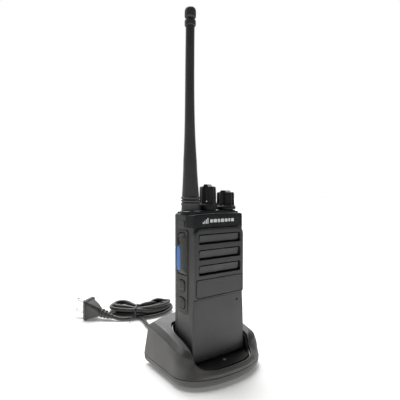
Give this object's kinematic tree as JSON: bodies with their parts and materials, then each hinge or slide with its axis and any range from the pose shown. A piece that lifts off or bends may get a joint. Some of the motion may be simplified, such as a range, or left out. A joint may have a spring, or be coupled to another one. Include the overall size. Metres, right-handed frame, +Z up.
{
  "type": "two way radio",
  "caption": "Handheld two way radio with whip antenna, control knobs, push-to-talk bar and belt clip, seated in a desk charger with a tied mains lead and flat-pin plug.",
  "frame": {"origin": "on the table, under the middle of the charger's plan outline", "axes": "+Z up along the antenna, the radio's speaker faces -Y and its push-to-talk side faces -X"},
  "size_m": [0.1116, 0.2264, 0.293],
  "materials": {
    "shell_plastic": "moulded charcoal ABS, fine satin grain",
    "battery_plastic": "moulded charcoal ABS, slightly coarser grain",
    "gloss_plastic": "smooth semi-gloss black",
    "knob_plastic": "satin black",
    "side_rubber": "soft matt grey-black rubber",
    "blue_insert": "satin sky blue",
    "antenna_rubber": "smooth matt black sleeve",
    "dock_plastic": "dark grey ABS, spark-eroded grain",
    "dock_gloss": "polished black",
    "steel": "nickel-plated steel",
    "brass": "gold-flashed brass",
    "alloy": "cast and turned aluminium",
    "board": "green solder mask",
    "felt": "black felt and paper",
    "cell": "wrapped lithium cells",
    "core": "laminated core with taped winding",
    "clear_lens": "clear light pipe",
    "cable_pvc": "dark grey flexible PVC",
    "tie_plastic": "black plastic-covered wire",
    "foot_rubber": "grey-black rubber"
  },
  "bodies": {
    "charger": {"dock_cover": "dock_plastic", "dock_well": "dock_gloss", "dock_base": "dock_plastic", "dock_foot_front": "foot_rubber", "dock_foot_rear": "foot_rubber", "dock_board": "board", "dock_light": "clear_lens", "transformer": "core", "strain_relief": "cable_pvc", "cord_lead_dock": "cable_pvc", "cord_hank": "cable_pvc", "cord_lead_plug": "cable_pvc", "cord_tie": "tie_plastic", "plug_body": "cable_pvc", "plug_prong_upper": "steel", "plug_prong_lower": "steel"},
    "radio": {"front_housing": "shell_plastic", "top_plate": "gloss_plastic", "grille_insert": "shell_plastic", "rear_cover": "battery_plastic", "battery_case": "battery_plastic", "battery_lid": "battery_plastic", "battery_cells": "cell", "charge_pad_left": "brass", "charge_pad_right": "brass", "channel_switch": "alloy", "volume_switch": "alloy", "antenna_socket": "brass", "status_light": "clear_lens", "side_panel": "side_rubber", "side_board": "board", "accessory_jack": "alloy", "dust_felt": "felt", "speaker_frame": "alloy", "speaker_cone": "felt", "speaker_magnet": "alloy", "microphone": "alloy", "main_board": "board", "rf_shield": "steel", "chassis": "alloy", "clip_bracket": "steel", "clip_pin": "steel", "clip_screw_left": "steel", "clip_screw_right": "steel"},
    "antenna_carrier": {"antenna_ferrule": "brass"},
    "antenna": {"antenna_whip": "antenna_rubber", "antenna_tip": "antenna_rubber"},
    "channel_control": {"channel_knob": "knob_plastic", "channel_shaft": "alloy"},
    "volume_control": {"volume_knob": "knob_plastic", "volume_shaft": "alloy"},
    "ptt": {"ptt_button": "side_rubber", "ptt_insert": "blue_insert"},
    "side_key_upper": {"side_key_upper": "side_rubber"},
    "side_key_lower": {"side_key_lower": "side_rubber"},
    "accessory_cover": {"accessory_cover": "side_rubber"},
    "battery_latch": {"battery_latch": "shell_plastic"},
    "belt_clip": {"belt_clip": "shell_plastic"},
    "charge_pin_left": {"charge_pin_left": "brass"},
    "charge_pin_right": {"charge_pin_right": "brass"}
  },
  "joints": [
    {"name": "radio_lift", "type": "slide", "parent": "charger", "child": "radio", "axis": [0, 0, 1], "range_m": [0, 0.06]},
    {"name": "antenna_rise", "type": "slide", "parent": "radio", "child": "antenna_carrier", "axis": [0, 0, 1], "range_m": [0, 0.0029]},
    {"name": "antenna_turn", "type": "hinge", "parent": "antenna_carrier", "child": "antenna", "pos_m": [-0.0196, -0.0035, 0.1322], "axis": [0, 0, 1], "range_deg": [0, 1440]},
    {"name": "channel_turn", "type": "hinge", "parent": "radio", "child": "channel_control", "pos_m": [-0.0024, -0.0035, 0.1323], "axis": [0, 0, 1], "range_deg": [-168.75, 168.75]},
    {"name": "volume_turn", "type": "hinge", "parent": "radio", "child": "volume_control", "pos_m": [0.0165, -0.0035, 0.1323], "axis": [0, 0, 1], "range_deg": [-135, 135]},
    {"name": "ptt_press", "type": "slide", "parent": "radio", "child": "ptt", "axis": [1, 0, 0], "range_m": [0, 0.0012], "stiffness_N_per_m": 900, "springref_m": -0.0006},
    {"name": "side_key_upper_press", "type": "slide", "parent": "radio", "child": "side_key_upper", "axis": [1, 0, 0], "range_m": [0, 0.0008], "stiffness_N_per_m": 900, "springref_m": -0.0004},
    {"name": "side_key_lower_press", "type": "slide", "parent": "radio", "child": "side_key_lower", "axis": [1, 0, 0], "range_m": [0, 0.0008], "stiffness_N_per_m": 900, "springref_m": -0.0004},
    {"name": "accessory_cover_swing", "type": "hinge", "parent": "radio", "child": "accessory_cover", "pos_m": [0.0277, -0.0004, 0.094], "axis": [0, 0, 1], "range_deg": [0, 110]},
    {"name": "battery_latch_slide", "type": "slide", "parent": "radio", "child": "battery_latch", "axis": [0, -1, 0], "range_m": [0, 0.0025], "stiffness_N_per_m": 600, "springref_m": -0.001},
    {"name": "belt_clip_swing", "type": "hinge", "parent": "radio", "child": "belt_clip", "pos_m": [0, 0.0183, 0.119], "axis": [1, 0, 0], "range_deg": [0, 18], "stiffness_Nm_per_rad": 0.3, "springref_deg": -8.59},
    {"name": "charge_pin_left_press", "type": "slide", "parent": "charger", "child": "charge_pin_left", "axis": [0, 0, -1], "range_m": [0, 0.001], "stiffness_N_per_m": 400, "springref_m": -0.0005},
    {"name": "charge_pin_right_press", "type": "slide", "parent": "charger", "child": "charge_pin_right", "axis": [0, 0, -1], "range_m": [0, 0.001], "stiffness_N_per_m": 400, "springref_m": -0.0005}
  ],
  "couplings": [
    {"joint": "antenna_rise", "follows": "antenna_turn", "m_per_rad": 0.00011141}
  ]
}
